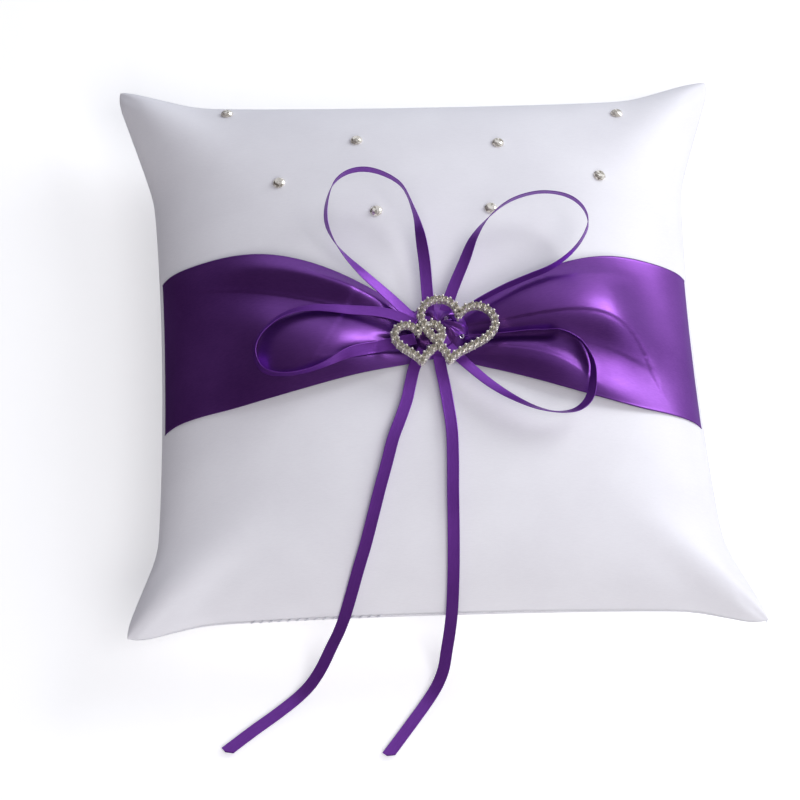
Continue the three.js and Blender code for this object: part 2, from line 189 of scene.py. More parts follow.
def back_shape(u, v):
    """The back panel: as deep as the crown until the table flattens it at height 0."""
    x, y = outline(u, v)
    return np.stack([x, y, np.maximum(SEAM_Z - BACK_CROWN * crown(u, v), 0)], axis=-1)


def grid_quads(rows, columns):
    """Corner indices of the quads of a grid of points stored row by row."""
    at = np.arange(rows * columns).reshape(rows, columns)
    return np.stack([at[:-1, :-1], at[:-1, 1:], at[1:, 1:], at[1:, :-1]], axis=-1).reshape(-1, 4)


def tube_quads(rings, sides):
    """Corner indices of the quads of a tube of points, whose rings close on themselves."""
    at = np.arange(rings * sides).reshape(rings, sides)
    nxt = np.roll(at, -1, axis=1)
    return np.stack([at[:-1], nxt[:-1], nxt[1:], at[1:]], axis=-1).reshape(-1, 4)


def joined(parts):
    """Several shapes, each (points, faces) or (points, faces, uv), as one."""
    points, faces, *uv = zip(*parts)
    starts = np.cumsum([0] + [len(each) for each in points])
    moved = [each + start for each, start in zip(faces, starts)]
    return np.concatenate(points), np.concatenate(moved), *(np.concatenate(each) for each in uv)


def mesh_object(name, points, faces, uv=None, smooth=True):
    """A mesh object from points (n, 3), faces (m, corners) and a UV pair for each point."""
    mesh = bpy.data.meshes.new(name)
    points = np.asarray(points, np.float32).reshape(-1, 3)
    faces = np.asarray(faces, np.int32)
    mesh.vertices.add(len(points))
    mesh.vertices.foreach_set("co", points.ravel())
    mesh.loops.add(faces.size)
    mesh.loops.foreach_set("vertex_index", faces.ravel())
    mesh.polygons.add(len(faces))
    mesh.polygons.foreach_set("loop_start", np.arange(0, faces.size, faces.shape[1], dtype=np.int32))
    mesh.update(calc_edges=True)
    mesh.polygons.foreach_set("use_smooth", np.full(len(faces), smooth))
    if uv is not None:
        layer = mesh.uv_layers.new(name="cloth")
        layer.data.foreach_set("uv", np.asarray(uv, np.float32).reshape(-1, 2)[faces.ravel()].ravel())
    piece = bpy.data.objects.new(name, mesh)
    bpy.context.scene.collection.objects.link(piece)
    return piece


def smoothing(count, reach):
    """A matrix that averages a line of values with a bell curve of that reach, in steps."""
    steps = np.arange(count)
    weights = np.exp(-0.5 * ((steps[:, None] - steps[None]) / reach) ** 2)
    return weights / weights.sum(axis=1, keepdims=True)


def both_ways(matrix, field):
    """A square grid of points with the matrix worked on its rows and on its columns."""
    return np.einsum("ij,jkc,lk->ilc", matrix, field, matrix)


def smoothed(field, reach):
    return both_ways(smoothing(len(field), reach), field)


def refining(count, fine):
    """A matrix that puts `fine` cubic steps between each two of a line of values."""
    place = np.arange((count - 1) * fine + 1) / fine
    start = np.minimum(place.astype(int), count - 2)
    t = place - start
    weights = np.stack([
        -0.5 * t + t ** 2 - 0.5 * t ** 3, 1 - 2.5 * t ** 2 + 1.5 * t ** 3,
        0.5 * t + 2 * t ** 2 - 1.5 * t ** 3, -0.5 * t ** 2 + 0.5 * t ** 3,
    ], axis=1)
    matrix = np.zeros((len(place), count))
    for k in range(4):
        np.add.at(matrix, (np.arange(len(place)), np.clip(start + k - 1, 0, count - 1)), weights[:, k])
    return matrix


def edge_of(count):
    """Which points of a square grid lie on its edge."""
    edge = np.ones((count, count), bool)
    edge[1:-1, 1:-1] = False
    return edge


def stuffed(front, back):
    """The two panels after a cloth simulation: sewn at their edges, blown up from inside, each
    thread as long as it is in the flat square. It runs at SIM_SCALE times the size."""
    n = front.shape[0]
    inner = n - 2
    flat_v, flat_u = np.meshgrid(np.linspace(-1, 1, n), np.linspace(-1, 1, n), indexing="ij")
    half = HALF_SIDE - ear_rounding(flat_u, flat_v)
    cut = np.stack([flat_u * half, flat_v * half, np.full_like(half, SEAM_Z)], axis=-1)
    start = np.concatenate([front.reshape(-1, 3), back[1:-1, 1:-1].reshape(-1, 3)]) * SIM_SCALE
    rest = np.concatenate([cut.reshape(-1, 3), cut[1:-1, 1:-1].reshape(-1, 3)]) * SIM_SCALE
    at_back = np.arange(n * n).reshape(n, n)
    at_back[1:-1, 1:-1] = n * n + np.arange(inner * inner).reshape(inner, inner)
    back_quads = np.stack([at_back[:-1, :-1], at_back[1:, :-1], at_back[1:, 1:], at_back[:-1, 1:]], axis=-1)
    bag = mesh_object("bag", start, np.concatenate([grid_quads(n, n), back_quads.reshape(-1, 4)]))
    bag.shape_key_add(name="stuffed")
    cut_key = bag.shape_key_add(name="cut")
    cut_key.data.foreach_set("co", rest.astype(np.float32).ravel())
    seam = bag.vertex_groups.new(name="seam")
    seam.add([int(k) for k in np.flatnonzero(edge_of(n).ravel())], 1.0, "REPLACE")
    cloth = bag.modifiers.new("cloth", "CLOTH")
    settings = cloth.settings
    settings.vertex_group_mass = "seam"
    settings.quality = 8
    settings.mass = 0.3
    settings.tension_stiffness = 40
    settings.compression_stiffness = 40
    settings.shear_stiffness = 10
    settings.bending_stiffness = 1.0
    settings.air_damping = 3
    settings.rest_shape_key = cut_key
    settings.use_pressure = True
    settings.uniform_pressure_force = 1.5
    settings.effector_weights.gravity = 0
    cloth.collision_settings.use_collision = False
    scene = bpy.context.scene
    for step in range(1, SIM_STEPS + 1):
        scene.frame_set(step)
    solved = bag.evaluated_get(bpy.context.evaluated_depsgraph_get()).to_mesh()
    points = np.empty(len(start) * 3, np.float32)
    solved.vertices.foreach_get("co", points)
    points = points.reshape(-1, 3).astype(float) / SIM_SCALE
    scene.frame_set(1)
    bpy.data.objects.remove(bag)
    return points[:n * n].reshape(n, n, 3), points[at_back]


flat_steps = np.linspace(0, 1, PANEL_CELLS + 1)
panel_v, panel_u = np.meshgrid(around(flat_steps), around(flat_steps), indexing="ij")
front_grid = front_shape(panel_u, panel_v)
back_grid = back_shape(panel_u, panel_v)
front_sim, back_sim = stuffed(front_grid, back_grid)
hold = np.clip(FORM_HOLD * crown(panel_u, panel_v), 0, 1)[..., None]
front_grid = smoothed(front_sim, SIM_SMOOTH) + smoothed(front_grid - front_sim, FORM_REACH) * hold
back_grid = smoothed(back_sim, SIM_SMOOTH) + smoothed(back_grid - back_sim, FORM_REACH) * hold
refine = refining(len(front_grid), FINE)
front_grid, back_grid = both_ways(refine, front_grid), both_ways(refine, back_grid)
PANEL_POINTS = front_grid.shape[0]
fine_flat = np.linspace(0, 1, PANEL_POINTS)
flat_v, flat_u = np.meshgrid(fine_flat, fine_flat, indexing="ij")

edge = edge_of(PANEL_POINTS)
sewn = (front_grid[edge] + back_grid[edge]) / 2
front_grid[edge] = sewn
back_grid[edge] = sewn
SEAM_HALF_GAP = 0.12 * MM
front_grid[..., 2] = np.maximum(front_grid[..., 2], SEAM_Z) + SEAM_HALF_GAP
back_grid[..., 2] = np.clip(back_grid[..., 2] - SEAM_HALF_GAP, 0, SEAM_Z - SEAM_HALF_GAP)


front_normals = unit(np.cross(np.gradient(front_grid, axis=1), np.gradient(front_grid, axis=0)))


def bilinear(field, flat_u, flat_v):
    """The grid's value at places 0..1 across it, mixed from the four points round each."""
    last = field.shape[0] - 1
    fu, fv = np.clip(flat_u, 0, 1) * last, np.clip(flat_v, 0, 1) * last
    i, j = np.minimum(fu.astype(int), last - 1), np.minimum(fv.astype(int), last - 1)
    a, b = (fu - i)[..., None], (fv - j)[..., None]
    low = field[j, i] * (1 - a) + field[j, i + 1] * a
    high = field[j + 1, i] * (1 - a) + field[j + 1, i + 1] * a
    return low * (1 - b) + high * b


def on_front(u, v, lift):
    """The point `lift` above the front panel's cloth at (u, v)."""
    flat = across_flat(u), across_flat(v)
    return bilinear(front_grid, *flat) + bilinear(front_normals, *flat) * np.asarray(lift)[..., None]


def on_cloth(x, y):
    """The (u, v) of a place over the front panel, by walking the outline's formula back."""
    u, v = x / HALF_SIDE, y / HALF_SIDE
    for _ in range(40):
        there_x, there_y = outline(u, v)
        u = np.clip(u + (x - there_x) / HALF_SIDE, -1, 1)
        v = np.clip(v + (y - there_y) / HALF_SIDE, -1, 1)
    return u, v


def set_inputs(tree, node, inputs):
    """Gives a node's sockets their values, or links them where the value is a socket."""
    for key, value in inputs.items():
        if isinstance(value, bpy.types.NodeSocket):
            tree.links.new(value, node.inputs[key])
        else:
            node.inputs[key].default_value = value


def node_maker(tree):
    """A short way to add nodes: make("ShaderNodeMath", {0: value or socket}, operation="ADD")."""

    def make(kind, inputs=None, **settings):
        node = tree.nodes.new(kind)
        for key, value in settings.items():
            setattr(node, key, value)
        set_inputs(tree, node, inputs or {})
        return node

    return make


def math(make, operation, *values):
    return make("ShaderNodeMath", dict(enumerate(values)), operation=operation).outputs[0]


def mapped(make, value, low, high, to_low, to_high, curve="LINEAR"):
    """A value taken from one range to another."""
    return make("ShaderNodeMapRange", {0: value, 1: low, 2: high, 3: to_low, 4: to_high},
                interpolation_type=curve).outputs[0]


def mixed(make, factor, first, second):
    """A colour between two."""
    return make("ShaderNodeMix", {0: factor, 6: first, 7: second}, data_type="RGBA").outputs[2]


def noise(make, scale, detail, distortion=0.0):
    """Noise over the piece's own coordinates."""
    place = make("ShaderNodeTexCoord")
    return make("ShaderNodeTexNoise", {"Vector": place.outputs["Object"], "Scale": scale, "Detail": detail,
                                       "Distortion": distortion}).outputs["Fac"]


def bumped(make, height, strength, distance):
    return make("ShaderNodeBump", {"Strength": strength, "Distance": distance, "Height": height}).outputs[0]


def new_material(name):
    """A material, a maker of its nodes, and a painter that sets or links its shader's sockets."""
    material = bpy.data.materials.new(name)
    material.use_nodes = True
    tree = material.node_tree

    def paint(inputs):
        set_inputs(tree, tree.nodes["Principled BSDF"], inputs)

    return material, node_maker(tree), paint


SATIN_FLOAT = 8.0
SATIN_STEP = 3.0
SATIN_EDGE = (0.6, 0.4, 0.8, 1)


def satin_group():
    """Satin weave. Warp threads run along the cloth's first UV axis and lie side by side along the
    second; each floats over seven weft threads and then dips, three further on at each thread."""
    tree = bpy.data.node_groups.new("satin_weave", "ShaderNodeTree")
    tree.interface.new_socket("UV", in_out="INPUT", socket_type="NodeSocketVector")
    for label, way in (("Threads per metre", "INPUT"), ("Height", "OUTPUT"), ("Tone", "OUTPUT")):
        tree.interface.new_socket(label, in_out=way, socket_type="NodeSocketFloat")
    make = node_maker(tree)
    given = make("NodeGroupInput")
    uv = make("ShaderNodeSeparateXYZ", {0: given.outputs["UV"]})
    warp = math(make, "MULTIPLY", uv.outputs[1], given.outputs[1])
    weft = math(make, "MULTIPLY", uv.outputs[0], given.outputs[1])
    thread = math(make, "FLOOR", warp)
    share = math(make, "DIVIDE", math(make, "MULTIPLY_ADD", thread, SATIN_STEP, weft), SATIN_FLOAT)
    dip = math(make, "PINGPONG", math(make, "FRACT", share), 0.5)
    height = math(make, "ADD", math(make, "PINGPONG", warp, 0.5), mapped(make, dip, 0.0, 0.12, 0.0, 0.5))
    pick = make("ShaderNodeCombineXYZ", {0: thread, 1: math(make, "FLOOR", share)})
    tone = make("ShaderNodeTexWhiteNoise", {"Vector": pick.outputs[0]}, noise_dimensions="3D")
    make("NodeGroupOutput", {"Height": height, "Tone": tone.outputs["Value"]})
    return tree


SATIN = satin_group()


def satin_material(name, shade, light, roughness, threads, metallic=0.0, weave=0.25, coat=0.0):
    """Dyed satin: the weave's threads differ a little in colour between shade and light, slow
    patches vary it more, and the threads stand up as a fine bump."""
    material, make, paint = new_material(name)
    uv = make("ShaderNodeUVMap", uv_map="cloth")
    cloth = make("ShaderNodeGroup", {"UV": uv.outputs[0], "Threads per metre": threads}, node_tree=SATIN)
    patches = noise(make, 45.0, 3.0)
    blend = math(make, "MULTIPLY_ADD", cloth.outputs["Tone"], 0.2, patches)
    paint({
        "Base Color": mixed(make, mapped(make, blend, 0.3, 1.0, 0.0, 1.0), shade, light),
        "Roughness": mapped(make, patches, 0.3, 0.7, roughness - 0.03, roughness + 0.03),
        "Normal": bumped(make, cloth.outputs["Height"], weave, 0.0001),
        "Metallic": metallic,
        "Coat Weight": coat,
        "Coat Roughness": 0.3,
    })
    if metallic:
        paint({"Specular Tint": SATIN_EDGE})
    return material


white_satin = satin_material("white_satin", (0.80, 0.785, 0.82, 1), (0.88, 0.87, 0.90, 1), 0.42, 8000.0,
                             weave=0.08)


def thicken(piece, thickness):
    """Gives a single skin of cloth its thickness, inwards, with its edges closed."""
    solid = piece.modifiers.new("thickness", "SOLIDIFY")
    solid.thickness = thickness
    solid.offset = -1


def finish_piece(piece, material, slot, *nodes):
    """Paints a piece, lets it ride on its body and stand for its CAD nodes. The slot is not used."""
    piece.data.materials.clear()
    piece.data.materials.append(material)
    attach(piece, "root")
    if nodes:
        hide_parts(*nodes)


cloth_uv = np.stack([flat_u, flat_v], axis=-1) * 2 * HALF_SIDE
panel_quads = grid_quads(PANEL_POINTS, PANEL_POINTS)
front_panel = mesh_object("front_panel", front_grid, panel_quads, cloth_uv)
back_panel = mesh_object("back_panel", back_grid, panel_quads[:, ::-1], cloth_uv)
for panel, node in ((front_panel, "front_cover_panel"), (back_panel, "back_cover_panel")):
    thicken(panel, CLOTH_THICK)
    finish_piece(panel, white_satin, "white_satin", node)


# ---- filling --------------------------------------------------------------------------------------
# Loose polyester fibre, stuffed in through the bottom edge until the cover is round. It fills the
# bag but not the flat ears, and its surface is lumpy.
FILLING_SHRINK = 0.955
FILLING_CLEAR = 0.9 * MM
FILLING_LUMP = 0.35 * MM
MERGE_WITHIN = 0.001 * MM


def lumps(x, y, count, longest, shortest, seed):
    """Soft lumps of about 1: a sum of sine waves in random directions, each as high as it is long."""
    draw = np.random.default_rng(seed)
    lengths = np.geomspace(longest, shortest, count)
    turns, starts = draw.uniform(0, 2 * np.pi, count), draw.uniform(0, 2 * np.pi, count)
    total = np.zeros_like(x)
    for length, turn, start in zip(lengths, turns, starts):
        wave = np.sin(2 * np.pi * (x * np.cos(turn) + y * np.sin(turn)) / length + start)
        total += wave * length / longest
    return total / np.sqrt(count / 2)


def filling_skin(panel, side, seed):
    """One side of the filling: the panel drawn in towards the middle of the seam's plane, lowered by
    the clear gap and by its lumps, and thinned to nothing at its edge."""
    skin = panel[::FINE, ::FINE].copy()
    skin[..., :2] *= FILLING_SHRINK
    rows = np.linspace(-1, 1, skin.shape[0])
    v, u = np.meshgrid(rows, rows, indexing="ij")
    body = np.clip((1 - u ** 2) * (1 - v ** 2) * 12, 0, 1)
    rough = np.abs(lumps(skin[..., 0], skin[..., 1], 14, 22 * MM, 6 * MM, seed)) * FILLING_LUMP
    deep = np.abs(skin[..., 2] - SEAM_Z) * FILLING_SHRINK - FILLING_CLEAR - rough
    skin[..., 2] = SEAM_Z + side * np.maximum(deep, 0) * body
    return skin


upper_fill = filling_skin(front_grid, 1, 11)
lower_fill = filling_skin(back_grid, -1, 12)
fill_rows = upper_fill.shape[0]
fill_quads = grid_quads(fill_rows, fill_rows)
filling = mesh_object("filling", *joined([
    (upper_fill.reshape(-1, 3), fill_quads), (lower_fill.reshape(-1, 3), fill_quads[:, ::-1])]))


def merge_doubles(piece):
    """Joins the points that two skins share."""
    shell = bmesh.new()
    shell.from_mesh(piece.data)
    bmesh.ops.remove_doubles(shell, verts=shell.verts, dist=MERGE_WITHIN)
    bmesh.ops.recalc_face_normals(shell, faces=shell.faces)
    shell.to_mesh(piece.data)
    shell.free()


merge_doubles(filling)


def fibre_material():
    """Matted white fibre: fine tangled streaks in its colour and its bump, and no shine."""
    material, make, paint = new_material("polyester_fibre")
    tangle = noise(make, 260.0, 6.0, 2.2)
    paint({
        "Base Color": mixed(make, tangle, (0.70, 0.70, 0.68, 1), (0.92, 0.92, 0.90, 1)),
        "Normal": bumped(make, tangle, 0.6, 0.0006),
        "Roughness": 0.95,
        "Sheen Weight": 0.4,
    })
    return material


finish_piece(filling, fibre_material(), "filling", "fibre_filling")


# ---- seam and closing stitches --------------------------------------------------------------------
# White polyester thread. A machine seam joins the panels right round, but for 40 mm of the bottom
# edge, where the filling went in, and that stretch is closed by hand with slanting stitches.
THREAD_RADIUS = 0.17 * MM
MACHINE_STITCH = 2.4 * MM
HAND_STITCH = 2.6 * MM
OPENING = np.array([-58, -18]) * MM
BOTTOM_BELOW = -70 * MM
rim_row = np.concatenate([
    front_grid[0, :-1], front_grid[:-1, -1], front_grid[-1, :0:-1], front_grid[:0:-1, 0]])
rim_run = run_along(rim_row)


def stitch_shape(length, radius):
    """One laid stitch along x: a six-sided thread as a closed tube whose radius follows half an
    ellipse to the power 0.35, so that it dives into the cloth at both ends."""
    along = np.linspace(-1, 1, 7)
    round_turns = np.arange(6) * np.pi / 3
    thick = radius * np.clip(1 - along ** 2, 0.01, 1) ** 0.35
    points = np.stack([
        np.broadcast_to(along[:, None] * length / 2, (7, 6)),
        thick[:, None] * np.cos(round_turns),
        thick[:, None] * np.sin(round_turns) + radius * 0.6 * (1 - along[:, None] ** 2),
    ], axis=-1)
    ends = np.array([[0, 5, 4, 3], [0, 3, 2, 1], [36, 37, 38, 39], [36, 39, 40, 41]])
    return points.reshape(-1, 3), np.concatenate([tube_quads(7, 6), ends])


def copies(shape, places, frames):
    """The shape repeated: frames (k, 3, 3) hold each copy's own x, y and z as rows."""
    points, faces = shape
    moved = np.einsum("ni,kij->knj", points, frames) + places[:, None]
    repeated = faces[None] + (np.arange(len(places)) * len(points))[:, None, None]
    return moved.reshape(-1, 3), repeated.reshape(-1, faces.shape[1])


def frames_from(x_axis, z_axis):
    """Right-handed frames (k, 3, 3) whose x follows one direction and whose z leans to another."""
    x_axis = unit(x_axis)
    y_axis = unit(np.cross(z_axis, x_axis))
    return np.stack([x_axis, y_axis, np.cross(x_axis, y_axis)], axis=-2)


def along_rim(distance, inset):
    """Places on the seam that far round it from the bottom left ear, set in from its edge, with the
    directions along the seam and out of it."""
    place = placed_along(rim_row, rim_run, distance)
    along = placed_along(rim_row, rim_run, distance + MM) - place
    outward = unit(np.cross(along, [0, 0, 1.0]))
    place = place - outward * inset
    place[:, 2] = SEAM_Z
    return place, along, outward


def thread_material(name, dark, light):
    """Twisted thread: slanting stripes of ply in its colour and its bump, and a faint shine."""
    material, make, paint = new_material(name)
    place = make("ShaderNodeTexCoord")
    ply = make("ShaderNodeTexWave", {"Vector": place.outputs["Object"], "Scale": 900.0, "Distortion": 0.6},
               wave_type="BANDS", bands_direction="DIAGONAL").outputs["Fac"]
    paint({
        "Base Color": mixed(make, ply, dark, light),
        "Normal": bumped(make, ply, 0.5, 0.0001),
        "Roughness": 0.5,
    })
    return material


white_thread = thread_material("white_thread", (0.66, 0.67, 0.72, 1), (0.88, 0.89, 0.93, 1))
machine = np.arange(MACHINE_STITCH, rim_run[-1] - MACHINE_STITCH, MACHINE_STITCH)
stitch_place, stitch_along, outward = along_rim(machine, 0.25 * MM)
stitch_x = np.interp(machine, rim_run, rim_row[:, 0])
at_bottom = np.interp(machine, rim_run, rim_row[:, 1]) < BOTTOM_BELOW
sewn = ~(at_bottom & (stitch_x > OPENING[0]) & (stitch_x < OPENING[1]))
machine_seam = mesh_object("machine_seam", *copies(
    stitch_shape(MACHINE_STITCH * 0.9, THREAD_RADIUS), stitch_place[sewn],
    frames_from(stitch_along[sewn], outward[sewn])))
finish_piece(machine_seam, white_thread, "thread", "seam_thread")

hand_x = np.arange(OPENING[0] + MM, OPENING[1] - MM / 2, HAND_STITCH)
hand_distance = np.interp(hand_x, rim_row[:PANEL_POINTS - 1, 0], rim_run[:PANEL_POINTS - 1])
hand_place, hand_along, outward = along_rim(hand_distance, -0.05 * MM)
slant = unit(hand_along) + np.array([0, 0, 1.1])
hand_stitches = mesh_object("hand_stitches", *copies(
    stitch_shape(HAND_STITCH * 0.85, THREAD_RADIUS * 1.3), hand_place, frames_from(slant, outward)))
finish_piece(hand_stitches, white_thread, "thread", "closing_thread")


# ---- sash -----------------------------------------------------------------------------------------
# 50 mm satin ribbon laid across the front, its ends caught in the side seams. It is drawn in to a
# waist under the bow, and the gathers run out from there as soft folds.
SASH_HALF_WIDTH = 25.5 * MM
SASH_HALF_WAIST = 6 * MM
SASH_LEFT_Y, SASH_MID_Y, SASH_RIGHT_Y = np.array([-4.7, -11.5, -8]) * MM
SASH_THICK = 0.22 * MM
SASH_GAP = 0.3 * MM
SASH_COLUMNS, SASH_ROWS = 321, 121
SELVEDGE_RISE = 0.12 * MM
SASH_OPEN_AT = 0.8
SASH_LOOSE = 0.8 * MM
SASH_SOFT = 0.5 * MM
WAIST_FLAT = 5 * MM
LEFT_PUFF, RIGHT_PUFF = 5.8 * MM, 4.8 * MM
LEFT_PUFF_FROM, RIGHT_PUFF_FROM = 13 * MM, 19 * MM
PUFF_ENDS = 57 * MM
SASH_LEFT_END, SASH_RIGHT_END = 0.992, 0.982
FOLD_BLEND = 3.5 * MM

# Each fold: the line of its crest or bottom over the front (x, y in mm), and at each of those
# points its height (mm, down where negative) and its width on the left and right of the line.
SASH_FOLDS = [
    # left: the rolled upper rim, the deep valley under it, the hill beside the knot, small gathers
    ([(-62, 18), (-50, 14.5), (-38, 9), (-26, 3.5), (-14, -2)], (0, 0.7, 1.5, 1.7, 1.0), (4, 3.5)),
    ([(-66, 10), (-54, 6.8), (-42, 2.6), (-30, -2), (-18, -4.5)], (0, -1.8, -3.6, -3.8, -1.6), (4.2, 7.5)),
    ([(-43, -29), (-37, -21), (-32, -13), (-29, -6)], (0.6, 2.8, 3.3, 1.2), (13, 9)),
    ([(-20, -12.2), (-14, -11.9), (-9, -11.5)], (0, -1.6, -1.2), (1.0, 1.2)),
    ([(-36, -21), (-26, -17.6), (-16, -14.6), (-9, -13.5)], (0, -1.0, -1.3, -1), (1.6, 1.6)),
    # right: the broad ridge that drops sharply, the crease and the shallow hollow below it, the roll
    ([(12, -7.5), (24, -7.6), (33, -7), (43, -6.4), (51, -8), (57, -12.5), (60, -18)],
     (0.6, 1.4, 3.0, 4.4, 4.2, 2.4, 0), (14, 7)),
    ([(7, -10.8), (16, -11.8), (25, -12.4), (34, -12.6)], (-1.0, -2.0, -2.6, -1.8), (1.4, 1.8)),
    ([(26, -12.6), (35, -14), (43, -15.4), (51, -17.2), (57, -20)], (0, -0.5, -0.9, -0.8, 0), (6, 13)),
    ([(8, -14), (16, -16), (24, -17.6), (32, -19.6), (39, -23), (44, -27)],
     (0.6, 1.0, 1.3, 1.1, 0.6, 0), (3.4, 7)),
    ([(8, -19), (17, -22.5), (27, -26.5), (37, -30)], (-0.6, -1.1, -1.0, 0), (2.0, 2.0)),
]


def fold_height(x, y, line, heights, widths):
    """A fold's height at each place. Each of many points on its rounded line gives its own height
    times exp of minus the squared distance over the width on that side, and the eighth root of the
    mean of their eighth powers is close to the largest of them, without its kinks."""
    line = np.asarray(line, float)
    steps = 6 * (len(line) - 1) + 1
    knots = np.linspace(0, steps - 1, len(line))
    rounding = smoothing(steps, 2.5)
    line = rounding @ placed_along(line, knots, np.arange(steps)) * MM
    heights = rounding @ np.interp(np.arange(steps), knots, heights) * MM
    ahead = np.gradient(line, axis=0)
    pitch = np.linalg.norm(ahead, axis=1)
    total = np.zeros_like(x)
    for (a, b), (along_x, along_y), step, height in zip(line, ahead, pitch, heights):
        dx, dy = x - a, y - b
        width = np.where(along_x * dy - along_y * dx > 0, widths[0], widths[1]) * MM
        total += step / FOLD_BLEND * (height ** 2 * np.exp(-2 * (dx ** 2 + dy ** 2) / width ** 2)) ** 4
    return np.sign(heights.sum()) * total ** 0.125


def smooth_step(value):
    """0 below 0, 1 above 1, and an even curve between."""
    value = np.clip(value, 0, 1)
    return value ** 2 * (3 - 2 * value)


def sash_lift(x, y, u, t):
    """Height of the sash over the cover. The knot ties it down at the waist and it puffs up on both
    sides of that, every fold adds its own, and it never sinks in: a soft maximum of the two."""
    left = x < BOW_CENTRE[0]
    from_waist = np.maximum(np.abs(x - BOW_CENTRE[0]) - WAIST_FLAT, 0)
    rises = 1 - np.exp(-(from_waist / np.where(left, LEFT_PUFF_FROM, RIGHT_PUFF_FROM)) ** 2)
    puffed = rises * np.exp(-(np.abs(x) / PUFF_ENDS) ** 6)
    stand_off = (SASH_LOOSE + np.where(left, LEFT_PUFF, RIGHT_PUFF) * puffed) * (1 - 0.5 * t ** 4)
    rise = stand_off + sum(fold_height(x, y, *fold) for fold in SASH_FOLDS) * smooth_step(3 * (1 - np.abs(t)))
    lift = (rise + np.sqrt(rise ** 2 + SASH_SOFT ** 2)) / 2
    return SASH_GAP * smooth_step((1 - np.abs(u)) / 0.06) + lift * smooth_step((1 - np.abs(u)) / 0.4)


def sash_band(u):
    """The y of the sash's middle line and its half width at u: they open out from the waist with a
    sine to the power 1.2, and are full at SASH_OPEN_AT of the way to the seam."""
    opened = np.sin(np.pi / 2 * np.minimum(1, np.abs(u) / SASH_OPEN_AT)) ** 1.2
    middle = SASH_MID_Y + (np.where(u < 0, SASH_LEFT_Y, SASH_RIGHT_Y) - SASH_MID_Y) * opened
    return middle, SASH_HALF_WAIST + (SASH_HALF_WIDTH - SASH_HALF_WAIST) * opened


def sash_place(u, t):
    """x, y and v of a place on the sash, t from -1 to 1 across it."""
    middle, half_width = sash_band(u)
    y = middle + t * half_width
    _, v = on_cloth(u * (HALF_SIDE - LEFT_PULL), y)
    x, _ = outline(u, v)
    return x, y, v


sash_s, sash_t = np.meshgrid(np.linspace(-1, 1, SASH_COLUMNS), np.linspace(-1, 1, SASH_ROWS))
sash_u = np.where(sash_s > 0, SASH_RIGHT_END, SASH_LEFT_END) * np.sin(sash_s * np.pi / 2)
sash_x, sash_y, sash_v = sash_place(sash_u, sash_t)
selvedge = SELVEDGE_RISE * np.exp(-((1 - np.abs(sash_t)) / 0.012) ** 2)
sash_points = on_front(sash_u, sash_v, sash_lift(sash_x, sash_y, sash_u, sash_t) + selvedge)
sash_uv = np.stack([(sash_s + 1) * 100 * MM, (sash_t + 1) * SASH_HALF_WIDTH], axis=-1)
sash = mesh_object("sash", sash_points, grid_quads(SASH_ROWS, SASH_COLUMNS), sash_uv)
thicken(sash, SASH_THICK)
purple_satin = satin_material("purple_satin", (0.17, 0.042, 0.295, 1), (0.27, 0.085, 0.44, 1), 0.33, 7000.0,
                              metallic=0.86, weave=0.12, coat=0.32)
finish_piece(sash, purple_satin, "purple_satin", "sash_ribbon")


# ---- narrow ribbon --------------------------------------------------------------------------------
# 3.5 mm satin ribbon. Four loops stand up from the knot, flat at their roots and on edge round
# their far ends, and two tails run down over the bottom edge onto the table.
RIBBON_WIDTH = 3.5 * MM
RIBBON_THICK = 0.24 * MM
RIBBON_CLEAR = 0.45 * MM
TAIL_SLANT = 3.2 * MM
OVER_THE_EDGE = -78 * MM


def route(points, count=600):
    """A smooth line through the points, as a centripetal Catmull-Rom curve, in equal steps."""
    points = np.asarray(points, float) * MM
    ends = 2 * points[:1] - points[1:2], 2 * points[-1:] - points[-2:-1]
    p = np.concatenate([ends[0], points, ends[1]])
    d = np.linalg.norm(np.diff(p, axis=0), axis=1) ** 0.5
    x0, x1, x2, x3 = p[:-3], p[1:-2], p[2:-1], p[3:]
    d0, d1, d2 = d[:-2, None], d[1:-1, None], d[2:, None]
    t1 = ((x1 - x0) / d0 - (x2 - x0) / (d0 + d1) + (x2 - x1) / d1) * d1
    t2 = ((x2 - x1) / d1 - (x3 - x1) / (d1 + d2) + (x3 - x2) / d2) * d1
    s = np.linspace(0, 1, 40, endpoint=False)[None, :, None]
    x1, x2, t1, t2 = x1[:, None], x2[:, None], t1[:, None], t2[:, None]
    line = x1 + t1 * s + (3 * (x2 - x1) - 2 * t1 - t2) * s ** 2 + (2 * (x1 - x2) + t1 + t2) * s ** 3
    line = np.concatenate([line.reshape(-1, 3), points[-1:]])
    run = run_along(line)
    return placed_along(line, run, np.linspace(0, run[-1], count))


def turns_along(rolls, count):
    """The ribbon's turn about its line, in radians, from rolls in degrees at equal shares of it."""
    turn = np.radians(np.interp(np.linspace(0, 1, count), np.linspace(0, 1, len(rolls)), rolls))
    return smoothing(count, count / 40) @ turn


def top_height(x, y):
    """Height of what a ribbon lies on at (x, y): the cover, or the sash where it covers that."""
    u, v = on_cloth(x, y)
    middle, half_width = sash_band(u)
    t = (y - middle) / half_width
    lift = np.where(np.abs(t) < 1, sash_lift(x, y, u, np.clip(t, -1, 1)) + SASH_THICK, 0)
    return on_front(u, v, lift)[..., 2]


def laid_over(line, turn):
    """The line raised where the ribbon would sink into the sash or the cover: by half its width
    where it stands on edge, and a little where it lies flat. Past the bottom edge it stays."""
    needed = top_height(line[:, 0], line[:, 1]) + RIBBON_CLEAR + np.abs(np.sin(turn)) * RIBBON_WIDTH / 2
    short = np.where(line[:, 1] > OVER_THE_EDGE, np.maximum(needed - line[:, 2], 0), 0)
    raised = line.copy()
    raised[:, 2] += smoothing(len(line), 8) @ short
    return raised


